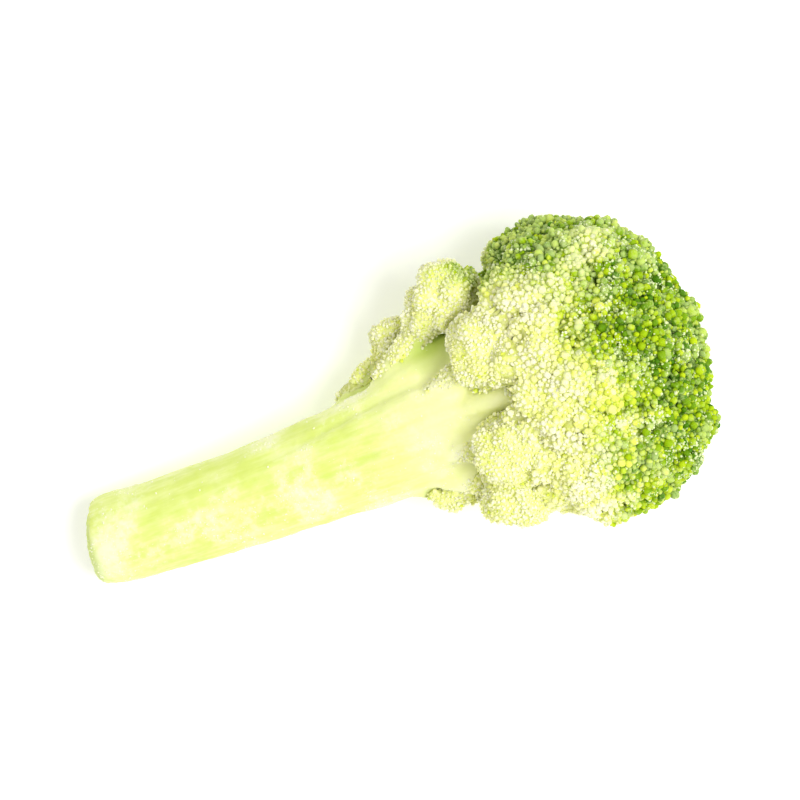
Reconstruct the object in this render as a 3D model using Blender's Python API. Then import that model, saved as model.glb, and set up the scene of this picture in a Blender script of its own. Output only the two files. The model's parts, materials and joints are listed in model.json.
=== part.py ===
"""A single broccoli floret, cut from its head and lying on its side.

The floret is a cut stalk that forks into short branches, and each branch ends in
one cluster of flower buds. Together the clusters make the domed crown.

Growing frame, used while modelling: the stalk's cut end is at the origin, +X runs
along the stalk to the crown, +Y is sideways and +Z is the side that faces up once
the floret lies down. At the end everything is tilted about Y until the crown and
the stalk's end both touch the ground, and is centred over the origin.
All sizes are in metres.
"""

import math
import random

import bmesh
import bpy
from mathutils import Matrix, Vector
from mathutils.geometry import intersect_point_line

# ---- whole floret: from the cut end to the middle of the crown
CROWN_CENTRE_AT = 0.0562

# ---- stalk
STALK_END_RADIUS = 0.0047
STALK_NECK_RADIUS = 0.0066
STALK_TIP_RADIUS = 0.0050
NECK_BEHIND_CROWN = 0.0162
TIP_BEHIND_CROWN = 0.0062
STALK_NECK_AT = CROWN_CENTRE_AT - NECK_BEHIND_CROWN
STALK_TIP_AT = CROWN_CENTRE_AT - TIP_BEHIND_CROWN
STALK_BOW = 0.0008
STALK_OVALNESS = 0.94
STALK_TIP_FLATNESS = 0.5
CUT_SLANT = math.radians(10)
CUT_EDGE_ROUND = 0.0007

# ---- crown
CROWN_HALF_LENGTH = 0.0137
CROWN_HALF_WIDTH = 0.0177
CROWN_HALF_DEPTH = 0.0156
CLUSTER_DOME_SHARE = 0.45
CLUSTER_UNDERSIDE_SHARE = 0.75
CLUSTER_MOST_STRETCH = 1.5

# ---- branches
BRANCH_RADIUS = 0.0019
SMALL_BRANCH_RADIUS = 0.0014
BRANCH_TAPER = 0.78
BRANCH_BEND_ALONG = 0.30
BRANCH_BEND_OUT = 0.42

# ---- fits
PIECE_GAP = 0.0003

# ---- fineness of the meshes
STALK_SIDES = 24
STALK_SPANS = 9
BRANCH_SIDES = 10
BRANCH_RINGS = 7
CLOSE_LOOK = 40
CLUSTER_SUBDIVISIONS = 3

SEED = 11
JITTER = 0.0007

MATERIALS = {
    "stalk_flesh": ((0.80, 0.90, 0.36, 1.0), 0.45),
    "branch_flesh": ((0.68, 0.82, 0.22, 1.0), 0.50),
    "buds": ((0.16, 0.33, 0.02, 1.0), 0.70),
}


# ---------------------------------------------------------------- helpers
def clear_scene():
    for old in list(bpy.data.objects):
        bpy.data.objects.remove(old, do_unlink=True)


def material(name):
    found = bpy.data.materials.get(name)
    if found:
        return found
    colour, roughness = MATERIALS[name]
    made = bpy.data.materials.new(name)
    made.use_nodes = True
    made.diffuse_color = colour
    shader = made.node_tree.nodes["Principled BSDF"]
    shader.inputs["Base Color"].default_value = colour
    shader.inputs["Roughness"].default_value = roughness
    shader.inputs["Metallic"].default_value = 0.0
    return made


def add_object(name, bm, material_name, parent):
    """Turns a bmesh into a smooth shaded object under the given parent."""
    bmesh.ops.recalc_face_normals(bm, faces=bm.faces)
    mesh = bpy.data.meshes.new(name)
    bm.to_mesh(mesh)
    bm.free()
    mesh.materials.append(material(material_name))
    mesh.shade_smooth()
    made = bpy.data.objects.new(name, mesh)
    made.parent = parent
    bpy.context.scene.collection.objects.link(made)
    return made


def add_cutter(name, bm, parent):
    """A shape that is only there to be cut out of others."""
    made = add_object(name, bm, "stalk_flesh", parent)
    made.hide_render = True
    made.display_type = "WIRE"
    return made


def cut_away(made, cutter):
    cut = made.modifiers.new("clearance", "BOOLEAN")
    cut.operation = "DIFFERENCE"
    cut.object = cutter
    cut.solver = "EXACT"


def smooth_step(t):
    t = max(0.0, min(1.0, t))
    return t * t * (3 - 2 * t)


def frame_along(direction):
    """Two directions square to the given one."""
    forward = direction.normalized()
    side = forward.cross(Vector((0, 0, 1)))
    if side.length < 1e-6:
        side = Vector((0, 1, 0))
    side.normalize()
    return side, side.cross(forward)


def loft(rings):
    """A closed body through rings of points, with a flat cap on both ends."""
    bm = bmesh.new()
    loops = [[bm.verts.new(p) for p in ring] for ring in rings]
    sides = len(loops[0])
    for lower, upper in zip(loops, loops[1:]):
        for i in range(sides):
            j = (i + 1) % sides
            bm.faces.new((lower[i], lower[j], upper[j], upper[i]))
    bm.faces.new(loops[0])
    bm.faces.new(loops[-1])
    return bm


# ---------------------------------------------------------------- stalk
def stalk_radius(along):
    """The stalk widens from the cut end to the neck, then narrows inside the crown."""
    if along <= STALK_NECK_AT:
        share = along / STALK_NECK_AT
        return STALK_END_RADIUS + (STALK_NECK_RADIUS - STALK_END_RADIUS) * share * share
    share = (along - STALK_NECK_AT) / (STALK_TIP_AT - STALK_NECK_AT)
    return STALK_NECK_RADIUS + (STALK_TIP_RADIUS - STALK_NECK_RADIUS) * share * share


def stalk_centre(along):
    bend = math.sin(math.pi * min(1.0, along / STALK_NECK_AT))
    return Vector((along, -STALK_BOW * bend, 0))


def stalk_ring(along, radius, slant):
    """One oval section. Near the cut end it leans with the slanted cut."""
    centre = stalk_centre(along)
    points = []
    for i in range(STALK_SIDES):
        angle = math.tau * i / STALK_SIDES
        y = radius * math.cos(angle)
        z = radius * STALK_OVALNESS * math.sin(angle)
        points.append(centre + Vector((y * math.tan(slant), y, z)))
    return points


def cut_end_rings(growth):
    """The cut face and its rounded edge, or with some growth a plain end beyond it."""
    if growth > 0.0:
        return [stalk_ring(-growth, STALK_END_RADIUS + growth, CUT_SLANT)]
    rings = []
    for angle in (0, 45):
        turn = math.radians(angle)
        along = CUT_EDGE_ROUND * (1 - math.cos(turn))
        inset = CUT_EDGE_ROUND * (1 - math.sin(turn))
        rings.append(stalk_ring(along, STALK_END_RADIUS - inset, CUT_SLANT))
    return rings


def stalk_body(growth=0.0):
    """The stalk, or with some growth the space that its neighbours keep clear."""
    rings = cut_end_rings(growth)
    for k in range(STALK_SPANS + 1):
        along = CUT_EDGE_ROUND + (STALK_TIP_AT - CUT_EDGE_ROUND) * k / STALK_SPANS
        lean = CUT_SLANT * (1 - smooth_step(3 * k / STALK_SPANS))
        rings.append(stalk_ring(along, stalk_radius(along) + growth, lean))
    end = STALK_TIP_RADIUS + growth
    for angle in (30, 60):
        turn = math.radians(angle)
        along = STALK_TIP_AT + STALK_TIP_FLATNESS * end * math.sin(turn)
        rings.append(stalk_ring(along, end * math.cos(turn), 0.0))
    return loft(rings)


# ---------------------------------------------------------------- crown layout
class Cluster:
    """Where one bud cluster grows, how big it is, and where its branch starts."""

    def __init__(self, name, centre, radius, branch_back, branch_radius, dome_share):
        self.name = name
        self.centre = centre
        self.radius = radius
        self.branch_from = CROWN_CENTRE_AT - branch_back
        self.branch_radius = branch_radius
        self.dome_share = dome_share


def crown_centre():
    return Vector((CROWN_CENTRE_AT, 0, 0))


def crown_half_sizes():
    return Vector((CROWN_HALF_LENGTH, CROWN_HALF_WIDTH, CROWN_HALF_DEPTH))


def under_dome(polar, azimuth, depth):
    """A point that far below the crown's dome. Polar 0 is the tip, azimuth 90 faces up."""
    a, b = math.radians(polar), math.radians(azimuth)
    half = crown_half_sizes()
    out = Vector(
        (
            half.x * math.cos(a),
            half.y * math.sin(a) * math.cos(b),
            half.z * math.sin(a) * math.sin(b),
        )
    )
    return crown_centre() + out * (1 - depth / out.length)


def dome_distance(point, direction):
    """How far the crown's dome is from a point inside it, along a direction."""
    half = crown_half_sizes()
    p = [(a - c) / h for a, c, h in zip(point, crown_centre(), half)]
    d = [a / h for a, h in zip(direction, half)]
    dd = sum(x * x for x in d)
    pd = sum(x * y for x, y in zip(p, d))
    pp = sum(x * x for x in p)
    inside = pd * pd - dd * (pp - 1)
    return (math.sqrt(max(0.0, inside)) - pd) / dd


# The crown's outer clusters. "Back" is how far behind the crown's middle.
# name, how many, polar angle, first azimuth, cluster radius, branch starts back
RINGS = (
    ("tip", 1, 0, 0, 0.0064, 0.0082),
    ("shoulder", 5, 50, 18, 0.0066, 0.0137),
    ("skirt", 7, 100, -64.3, 0.0064, 0.0217),
)
# Small clusters under the crown, on short branches around the neck of the stalk:
# name, middle back, middle out from the stalk's skin, azimuth, radius, branch starts back
LOW_CLUSTERS = (
    ("collar_front", 0.0090, 0.0031, 124, 0.0046, 0.0257),
    ("collar_low", 0.0107, 0.0031, 170, 0.0050, 0.0277),
    ("collar_under", 0.0112, 0.0026, 219, 0.0047, 0.0272),
    ("collar_back", 0.0107, 0.0025, 270, 0.0046, 0.0272),
    ("collar_high", 0.0080, 0.0036, 57, 0.0045, 0.0252),
    ("lip", 0.0182, 0.0012, 192, 0.0028, 0.0297),
    ("side_outer", 0.0110, 0.0060, 12, 0.0044, 0.0287),
    ("side_inner", 0.0187, 0.0028, -18, 0.0037, 0.0337),
)


def outer_clusters():
    chance = random.Random(SEED)
    clusters = []
    for ring, count, polar, first, radius, back in RINGS:
        for k in range(count):
            centre = under_dome(polar, first + 360 * k / count, radius)
            centre += Vector([chance.uniform(-JITTER, JITTER) for _ in range(3)])
            name = ring if count == 1 else f"{ring}_{k + 1}"
            made = Cluster(name, centre, radius, back, BRANCH_RADIUS, CLUSTER_DOME_SHARE)
            clusters.append(made)
    return clusters


def low_clusters():
    clusters = []
    for name, behind, out, azimuth, radius, back in LOW_CLUSTERS:
        along = CROWN_CENTRE_AT - behind
        turn = math.radians(azimuth)
        away = Vector((0, math.cos(turn), math.sin(turn)))
        centre = Vector((along, 0, 0)) + away * (stalk_radius(along) + out)
        clusters.append(Cluster(name, centre, radius, back, SMALL_BRANCH_RADIUS, 0.0))
    return clusters


# ---------------------------------------------------------------- branches
def branch_line(cluster, count=BRANCH_RINGS):
    """The branch leaves the stalk at a narrow angle and curves out to its cluster."""
    start = stalk_centre(cluster.branch_from)
    end = cluster.centre
    span = end - start
    out = Vector((0, span.y, span.z))
    bend = start + Vector((BRANCH_BEND_ALONG * span.length, 0, 0)) + out * BRANCH_BEND_OUT
    points = []
    for k in range(count):
        t = k / (count - 1)
        points.append(start * (1 - t) ** 2 + bend * 2 * t * (1 - t) + end * t**2)
    return points


def branches_meet(cluster, other):
    """Whether two branches would come closer than the gap outside the stalk."""
    needed = cluster.branch_radius + other.branch_radius + PIECE_GAP
    for p in branch_line(cluster, CLOSE_LOOK):
        skin = stalk_radius(min(p.x, STALK_TIP_AT)) * STALK_OVALNESS
        outside = p.x > STALK_TIP_AT or math.hypot(p.y, p.z) + cluster.branch_radius > skin
        if outside and min((p - q).length for q in branch_line(other, CLOSE_LOOK)) < needed:
            return True
    return False


def branch_body(cluster, growth=0.0):
    """A tapered tube along the branch, or with some growth its clearance."""
    line = branch_line(cluster)
    line[-1] = line[-1] + (line[-1] - line[-2]).normalized() * growth
    rings = []
    for k, point in enumerate(line):
        ahead = line[min(k + 1, len(line) - 1)] - line[max(k - 1, 0)]
        side, up = frame_along(ahead)
        taper = 1 - (1 - BRANCH_TAPER) * k / (BRANCH_RINGS - 1)
        radius = cluster.branch_radius * taper + growth
        ring = []
        for i in range(BRANCH_SIDES):
            angle = math.tau * i / BRANCH_SIDES
            ring.append(point + radius * (math.cos(angle) * side + math.sin(angle) * up))
        rings.append(ring)
    return loft(rings)


# ---------------------------------------------------------------- bud clusters
def room_towards(cluster, other):
    """Direction to a neighbour, and how far the cluster may grow that way."""
    apart = other.centre - cluster.centre
    distance = apart.length
    squares = cluster.radius**2 - other.radius**2
    return apart / distance, (distance**2 + squares) / (2 * distance) - PIECE_GAP / 2


def room_beside_branch(cluster, other):
    """The same for another cluster's branch, once for each straight span of it."""
    line = branch_line(other)
    found = []
    for start, end in zip(line, line[1:]):
        nearest, share = intersect_point_line(cluster.centre, start, end)
        if share < 0:
            nearest = start
        if share > 1:
            nearest = end
        aside = nearest - cluster.centre
        room = aside.length - other.branch_radius - PIECE_GAP
        found.append((aside.normalized(), room))
    return found


def free_reach(cluster, direction):
    """A cluster's own roundness, drawn part of the way out to the crown's dome."""
    if cluster.dome_share == 0.0:
        return cluster.radius
    most = CLUSTER_MOST_STRETCH * cluster.radius
    dome = min(dome_distance(cluster.centre, direction), most)
    return cluster.radius + cluster.dome_share * (dome - cluster.radius)


def cluster_body(cluster, clusters):
    """A round cluster, flattened underneath and where it presses on what is beside it."""
    root = stalk_centre(cluster.branch_from)
    underside = CLUSTER_UNDERSIDE_SHARE * cluster.radius
    walls = [((root - cluster.centre).normalized(), underside)]
    for other in clusters:
        if other is not cluster:
            walls.append(room_towards(cluster, other))
            walls.extend(room_beside_branch(cluster, other))
    bm = bmesh.new()
    bmesh.ops.create_icosphere(bm, subdivisions=CLUSTER_SUBDIVISIONS, radius=1.0)
    for vert in bm.verts:
        direction = vert.co.normalized()
        reach = free_reach(cluster, direction)
        for normal, room in walls:
            facing = direction.dot(normal)
            if facing > 0:
                reach = min(reach, room / facing)
        vert.co = cluster.centre + direction * reach
    return bm


# ---------------------------------------------------------------- lying down
def lowest(points, tilt):
    """The lowest height of some points once the floret is tilted up by an angle."""
    return min(p.x * math.sin(tilt) + p.z * math.cos(tilt) for p in points)


def lying_tilt(stalk_points, crown_points):
    """The tilt at which the stalk's end and the crown touch the ground together."""
    low, high = 0.0, math.radians(45)
    for _ in range(60):
        middle = (low + high) / 2
        if lowest(crown_points, middle) < lowest(stalk_points, middle):
            low = middle
        else:
            high = middle
    return (low + high) / 2


def lay_down(root, stalk, clusters):
    stalk_points = [v.co.copy() for v in stalk.data.vertices]
    crown_points = [v.co.copy() for made in clusters for v in made.data.vertices]
    tilt = lying_tilt(stalk_points, crown_points)
    turn = Matrix.Rotation(-tilt, 4, "Y")
    placed = [turn @ p for p in stalk_points + crown_points]
    centre_x = (min(p.x for p in placed) + max(p.x for p in placed)) / 2
    centre_y = (min(p.y for p in placed) + max(p.y for p in placed)) / 2
    ground = min(p.z for p in placed)
    root.rotation_euler = (0, -tilt, 0)
    root.location = (-centre_x, -centre_y, -ground)


# ---------------------------------------------------------------- the floret
def main():
    clear_scene()
    root = bpy.data.objects.new("floret", None)
    bpy.context.scene.collection.objects.link(root)

    stalk = add_object("stalk", stalk_body(), "stalk_flesh", root)
    stalk_room = add_cutter("room_for_stalk", stalk_body(PIECE_GAP), root)

    layout = outer_clusters() + low_clusters()
    rooms = {}
    buds = []
    for cluster in layout:
        branch = add_object(f"branch_{cluster.name}", branch_body(cluster), "branch_flesh", root)
        cut_away(branch, stalk_room)
        for other, other_room in rooms.items():
            if branches_meet(cluster, other):
                cut_away(branch, other_room)
        room = add_cutter(f"room_{cluster.name}", branch_body(cluster, PIECE_GAP), root)
        rooms[cluster] = room
        made = add_object(f"buds_{cluster.name}", cluster_body(cluster, layout), "buds", root)
        cut_away(made, stalk_room)
        cut_away(made, room)
        buds.append(made)

    lay_down(root, stalk, buds)


main()
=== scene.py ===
# %% [markdown]
# # A frozen broccoli floret
#
# A floret is one small branch of a broccoli head: a cut stalk that forks and forks
# again, and ends in thousands of closed flower buds. This one lies on its side and
# has come out of a freezer, so white frost sits on everything.
#
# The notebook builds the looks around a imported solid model. The solids say where the
# stalk, the branches and the bud clusters are. Here they get their ribs, their lobes,
# their single buds and their frost.
# %% Load the solid model
import json
import math

import bmesh
import bpy
import numpy as np
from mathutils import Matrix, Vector
from mathutils.bvhtree import BVHTree
from mathutils.noise import fractal

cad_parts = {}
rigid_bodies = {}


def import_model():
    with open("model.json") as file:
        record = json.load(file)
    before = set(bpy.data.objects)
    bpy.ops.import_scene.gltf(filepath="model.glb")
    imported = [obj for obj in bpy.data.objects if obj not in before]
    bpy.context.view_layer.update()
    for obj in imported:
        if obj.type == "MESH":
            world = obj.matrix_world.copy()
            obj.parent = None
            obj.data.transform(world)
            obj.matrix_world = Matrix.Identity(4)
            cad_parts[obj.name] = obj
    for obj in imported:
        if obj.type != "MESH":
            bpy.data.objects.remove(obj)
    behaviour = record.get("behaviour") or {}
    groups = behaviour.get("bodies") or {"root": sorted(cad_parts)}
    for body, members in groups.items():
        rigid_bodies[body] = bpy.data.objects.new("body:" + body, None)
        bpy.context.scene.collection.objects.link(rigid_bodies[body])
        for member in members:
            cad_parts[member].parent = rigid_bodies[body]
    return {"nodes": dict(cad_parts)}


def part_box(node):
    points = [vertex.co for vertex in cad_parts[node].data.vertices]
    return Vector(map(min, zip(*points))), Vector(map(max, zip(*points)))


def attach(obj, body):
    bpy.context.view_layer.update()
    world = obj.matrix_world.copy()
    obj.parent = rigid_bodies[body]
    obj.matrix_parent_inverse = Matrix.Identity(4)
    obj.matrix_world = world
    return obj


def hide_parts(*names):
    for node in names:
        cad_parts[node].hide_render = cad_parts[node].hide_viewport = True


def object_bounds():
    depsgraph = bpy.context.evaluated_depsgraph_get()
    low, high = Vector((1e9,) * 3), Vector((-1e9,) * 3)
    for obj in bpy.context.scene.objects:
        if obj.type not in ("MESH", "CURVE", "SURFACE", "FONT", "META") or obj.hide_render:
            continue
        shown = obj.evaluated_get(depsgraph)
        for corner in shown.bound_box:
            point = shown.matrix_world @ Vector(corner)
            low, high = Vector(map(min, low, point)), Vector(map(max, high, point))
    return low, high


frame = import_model()
cad_low, cad_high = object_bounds()
CLUSTERS = sorted(name[5:] for name in frame["nodes"] if name.startswith("buds_"))
BRANCHES = sorted(name for name in frame["nodes"] if name.startswith("branch_"))
print("solid model:", len(CLUSTERS), "clusters, size", [round(v, 4) for v in cad_high - cad_low])


# %% [markdown]
# ## Measuring the solids
#
# Everything that follows needs three facts: where the stalk was cut, where the middle
# of the crown is, and which way the floret points. They are measured on the solids,
# so that the looks follow if the solids change.
# %% Measure the axis of the floret
def points_of(mesh):
    """A mesh's points as rows of three numbers."""
    flat = np.empty(len(mesh.vertices) * 3)
    mesh.vertices.foreach_get("co", flat)
    return flat.reshape(-1, 3)


def set_points(mesh, points):
    """Moves a mesh's points to new places."""
    mesh.vertices.foreach_set("co", points.ravel())
    mesh.update()


stalk_points = points_of(frame["nodes"]["stalk"].data)
END_SLICE = 0.0025
cut_end = Vector(stalk_points[stalk_points[:, 0] < cad_low.x + END_SLICE].mean(0))
main_clusters = [n for n in CLUSTERS if n.startswith(("tip", "shoulder", "skirt"))]
cluster_boxes = [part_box("buds_" + n) for n in main_clusters]
box_middles = [(low + high) / 2 for low, high in cluster_boxes]
crown_middle = sum(box_middles, Vector()) / len(box_middles)
forward = (crown_middle - cut_end).normalized()
sideways = Vector((0, 0, 1)).cross(forward).normalized()
upward = forward.cross(sideways)
print("the stalk rises", round(math.degrees(math.asin(forward.z)), 1), "degrees")


# %% [markdown]
# ## Camera, floor and light
#
# The floret is seen from straight above, with its stalk pointing to the lower left.
# A long lens keeps the shape from bulging. The light of a packshot is almost even:
# a large bright panel on the right, a white room around, and a white floor that
# throws light back up.
# %% Camera
VIEW_ROLL = math.radians(-20)
VIEW_SHARE = 0.80
LENS = 200.0

scene = bpy.context.scene
view_right = Vector((math.cos(VIEW_ROLL), math.sin(VIEW_ROLL), 0))
view_up = Vector((-math.sin(VIEW_ROLL), math.cos(VIEW_ROLL), 0))
all_points = np.concatenate([points_of(o.data) for o in frame["nodes"].values()])
across = all_points @ np.array(view_right)
above = all_points @ np.array(view_up)
camera = bpy.data.objects.new("camera", bpy.data.cameras.new("camera"))
camera.data.lens = LENS
camera.data.clip_start = 0.01
wide = np.ptp(across) / VIEW_SHARE
middle = view_right * (across.max() + across.min()) / 2 + view_up * (above.max() + above.min()) / 2
camera.location = middle + Vector((0, 0, wide * LENS / camera.data.sensor_width + cad_high.z / 2))
camera.rotation_euler = (0, 0, VIEW_ROLL)
scene.collection.objects.link(camera)
scene.camera = camera
print("camera height", round(camera.location.z, 3))


# %% [markdown]
# ## Short words for nodes
#
# A material and a Geometry Nodes tree are both chains of small sums. Written out, each
# sum takes several lines: place a node, fill in its inputs, link the next one. These
# helpers do all three at once and hand back what comes out, so that a chain reads like
# arithmetic.
# %% Nodes in few words
def add(tree, kind, inputs=None, **settings):
    """Adds a node to a tree. Each input gets a value or another node's output."""
    node = tree.nodes.new(kind)
    for key, value in settings.items():
        setattr(node, key, value)
    for key, value in (inputs or {}).items():
        if isinstance(value, bpy.types.NodeSocket):
            tree.links.new(value, node.inputs[key])
        else:
            node.inputs[key].default_value = value
    return node


def calc(tree, operation, a, b=0.0, c=0.0, clamp=False):
    """One step of arithmetic."""
    inputs = {0: a, 1: b, 2: c}
    return add(tree, "ShaderNodeMath", inputs, operation=operation, use_clamp=clamp).outputs[0]


def blend_colours(tree, share, a, b, kind="MIX"):
    """Colour a where the share is 0, colour b where it is 1."""
    inputs = {0: share, 6: a, 7: b}
    return add(tree, "ShaderNodeMix", inputs, data_type="RGBA", blend_type=kind).outputs[2]


def remap(tree, value, low, high, to_low=0.0, to_high=1.0):
    """Stretches a value smoothly from one range to another."""
    inputs = {"Value": value, 1: low, 2: high, 3: to_low, 4: to_high}
    return add(tree, "ShaderNodeMapRange", inputs, interpolation_type="SMOOTHSTEP").outputs[0]


def noise(tree, where, scale, detail=2.0, roughness=0.5):
    """A cloudy number around 0.5. A larger scale makes smaller clouds."""
    inputs = {"Vector": where, "Scale": scale, "Detail": detail, "Roughness": roughness}
    return add(tree, "ShaderNodeTexNoise", inputs).outputs[0]


def distance_along(tree, place, origin, direction):
    """How far a place lies from an origin, measured along a direction."""
    inputs = {0: place, 1: tuple(origin)}
    offset = add(tree, "ShaderNodeVectorMath", inputs, operation="SUBTRACT").outputs[0]
    inputs = {0: offset, 1: tuple(direction)}
    return add(tree, "ShaderNodeVectorMath", inputs, operation="DOT_PRODUCT").outputs["Value"]


def scaled(tree, vector, scale):
    """A vector made longer or shorter."""
    inputs = {0: vector, "Scale": scale}
    return add(tree, "ShaderNodeVectorMath", inputs, operation="SCALE").outputs[0]


def random_between(tree, low, high, seed):
    """A random number for each point, or three of them if low and high are three."""
    if isinstance(low, tuple):
        inputs = {0: low, 1: high, "Seed": seed}
        return add(tree, "FunctionNodeRandomValue", inputs, data_type="FLOAT_VECTOR").outputs[0]
    inputs = {2: low, 3: high, "Seed": seed}
    return add(tree, "FunctionNodeRandomValue", inputs, data_type="FLOAT").outputs[1]


def read_attribute(tree, name):
    """A number stored on the mesh, inside a Geometry Nodes tree."""
    inputs = {"Name": name}
    return add(tree, "GeometryNodeInputNamedAttribute", inputs, data_type="FLOAT").outputs[0]


def mesh_of(tree, made):
    """The mesh of another object, inside a Geometry Nodes tree."""
    return add(tree, "GeometryNodeObjectInfo", {"Object": made}).outputs["Geometry"]


def srgb(red, green, blue):
    """A colour as a screen shows it, 0 to 255, as the linear colour that nodes take."""
    shares = [v / 255 for v in (red, green, blue)]
    return (*[v / 12.92 if v <= 0.04045 else ((v + 0.055) / 1.055) ** 2.4 for v in shares], 1.0)


# %% [markdown]
# ## Floor and light
#
# A packshot is taken on white paper in a tent of white cloth. The room's even light
# stands for the tent, and one panel gives the buds their small shadows. The floor
# glows a little, which thins the shadow on it, as the light through real paper does.
# %% Floor and light
FLOOR_COLOUR = srgb(250, 250, 248)
FLOOR_HALF = 1.5
FLOOR_GLOW = 0.24

floor_material = bpy.data.materials.new("white_floor")
floor_material.use_nodes = True
floor_shader = floor_material.node_tree.nodes["Principled BSDF"]
floor_shader.inputs["Base Color"].default_value = FLOOR_COLOUR
floor_shader.inputs["Roughness"].default_value = 0.8
floor_shader.inputs["Emission Color"].default_value = (1, 1, 1, 1)
floor_shader.inputs["Emission Strength"].default_value = FLOOR_GLOW
floor_mesh = bpy.data.meshes.new("floor")
corners = [(x * FLOOR_HALF, y * FLOOR_HALF, 0) for x, y in ((-1, -1), (1, -1), (1, 1), (-1, 1))]
floor_mesh.from_pydata(corners, [], [(0, 1, 2, 3)])
floor_mesh.materials.append(floor_material)
floor = bpy.data.objects.new("floor", floor_mesh)
scene.collection.objects.link(floor)


def panel(name, place, size, watts):
    """A square lamp that faces the floret."""
    lamp = bpy.data.lights.new(name, "AREA")
    lamp.size = size
    lamp.energy = watts
    made = bpy.data.objects.new(name, lamp)
    made.location = place
    made.rotation_euler = (crown_middle - Vector(place)).to_track_quat("-Z", "Y").to_euler()
    scene.collection.objects.link(made)


KEY_WATTS = 1.80
KEY_SIZE = 0.22
KEY_PLACE = view_right * 0.19 - view_up * 0.03 + Vector((0, 0, 0.46))
ROOM_BRIGHTNESS = 0.67
panel("key_panel", KEY_PLACE, KEY_SIZE, KEY_WATTS)
world = bpy.data.worlds.new("white_room")
world.use_nodes = True
world.node_tree.nodes["Background"].inputs["Color"].default_value = (1, 1, 1, 1)
world.node_tree.nodes["Background"].inputs["Strength"].default_value = ROOM_BRIGHTNESS
scene.world = world
scene.view_settings.view_transform = "Standard"
print("lamp:", KEY_WATTS, "watts from", [round(v, 2) for v in KEY_PLACE])


# %% [markdown]
# ## Turning solids into grown shapes
#
# A solid model has crisp edges and a small gap between its pieces. Living tissue has
# neither. The cure is to puff each piece up by a hair, melt the pieces into one skin
# with a voxel remesh, and let the skin relax. Forks get their soft webs that way.
# %% Mesh helpers
FLOOR_CLEARANCE = 0.00002


def plain_copy(node, growth):
    """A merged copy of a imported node, puffed up by a distance or by a rule of the place."""
    bm = bmesh.new()
    bm.from_mesh(frame["nodes"][node].data)
    bmesh.ops.remove_doubles(bm, verts=bm.verts, dist=1e-6)
    bm.normal_update()
    for vert in bm.verts:
        vert.co += vert.normal * (growth(vert.co) if callable(growth) else growth)
    return bm


def melted(name, growths, voxel):
    """One closed skin around some nodes, each puffed up by its own distance."""
    mesh = bpy.data.meshes.new(name)
    whole = bmesh.new()
    for node, growth in growths.items():
        part = plain_copy(node, growth)
        part.to_mesh(mesh)
        part.free()
        whole.from_mesh(mesh)
    whole.to_mesh(mesh)
    whole.free()
    made = bpy.data.objects.new(name, mesh)
    scene.collection.objects.link(made)
    remesh = made.modifiers.new("melt", "REMESH")
    remesh.mode = "VOXEL"
    remesh.voxel_size = voxel
    return baked(made)


def baked(made):
    """Replaces an object's mesh by what its modifiers make of it."""
    depsgraph = bpy.context.evaluated_depsgraph_get()
    made.update_tag()
    bpy.context.view_layer.update()
    mesh = bpy.data.meshes.new_from_object(made.evaluated_get(depsgraph))
    made.modifiers.clear()
    made.data = mesh
    mesh.name = made.name
    return made


def relax(made, rounds):
    """Evens a skin out by moving each point towards its neighbours."""
    mesh = made.data
    points = points_of(mesh)
    pairs = np.array([e.vertices[:] for e in mesh.edges])
    count = np.bincount(pairs.ravel(), minlength=len(points))[:, None]
    for _ in range(rounds):
        total = np.zeros_like(points)
        np.add.at(total, pairs[:, 0], points[pairs[:, 1]])
        np.add.at(total, pairs[:, 1], points[pairs[:, 0]])
        points = 0.5 * points + 0.5 * total / count
    set_points(mesh, points)
    mesh.shade_smooth()


def smooth(value, low, high):
    """0 below low, 1 above high, and a soft step between."""
    share = np.clip((value - low) / (high - low), 0, 1)
    return share * share * (3 - 2 * share)


def keep_above_floor(mesh):
    """Flattens a mesh where it would reach through the floor."""
    points = points_of(mesh)
    points[:, 2] = np.maximum(points[:, 2], FLOOR_CLEARANCE)
    set_points(mesh, points)


def outward(mesh):
    """The direction that the skin faces at each point."""
    flat = np.empty(len(mesh.vertices) * 3)
    mesh.vertex_normals.foreach_get("vector", flat)
    return flat.reshape(-1, 3)


# %% [markdown]
# ## The stalk
#
# On the real floret the stalk is ribbed: each rib is a bundle of fibres that runs on
# into one branch. The cut face is slightly hollow, because the soft pith dries and
# shrinks, and its edge is no longer sharp. These are simple rules, so they are moves of
# the skin's points: ribs by the angle around the axis, the hollow and the round edge
# by the distance from it. In the notch under the side shoots the flesh has grown
# together, so the copy is puffed up more there, and the remesh makes a web of it.
# %% Stalk skin
STALK_VOXEL = 0.00034
SKIN_GROWTH = 0.0002
BRANCH_GROWTH = 0.0003
WEB_HEIGHT = 0.0022
WEB_NEAR = 0.0025
WEB_FAR = 0.0065
COATED = sorted(set(CLUSTERS) - set(main_clusters))
FROM_THE_STALK = ("side_inner", "side_outer")

# The notch lies under the outer side shoot, towards the crown and close to the stalk.
NOTCH_SHARES = (0.7, 0.2, 0.1)
shoot_low, shoot_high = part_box("branch_side_outer")
shares = zip(NOTCH_SHARES, shoot_low, shoot_high)
notch = Vector([(1 - share) * low + share * high for share, low, high in shares])


def webbed(place):
    """Puffs the stalk up in the notch between the side shoots and the crown."""
    away = (place - notch).length
    return SKIN_GROWTH + WEB_HEIGHT * (1 - float(smooth(away, WEB_NEAR, WEB_FAR)))


growths = {"stalk": webbed, **{branch: BRANCH_GROWTH for branch in BRANCHES}}
growths["branch_skirt_2"] = webbed
growths.update({"branch_" + name: SKIN_GROWTH for name in FROM_THE_STALK})
stalk = melted("stalk_skin", growths, STALK_VOXEL)
relax(stalk, rounds=4)
print("stalk skin:", len(stalk.data.polygons), "faces")

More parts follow.
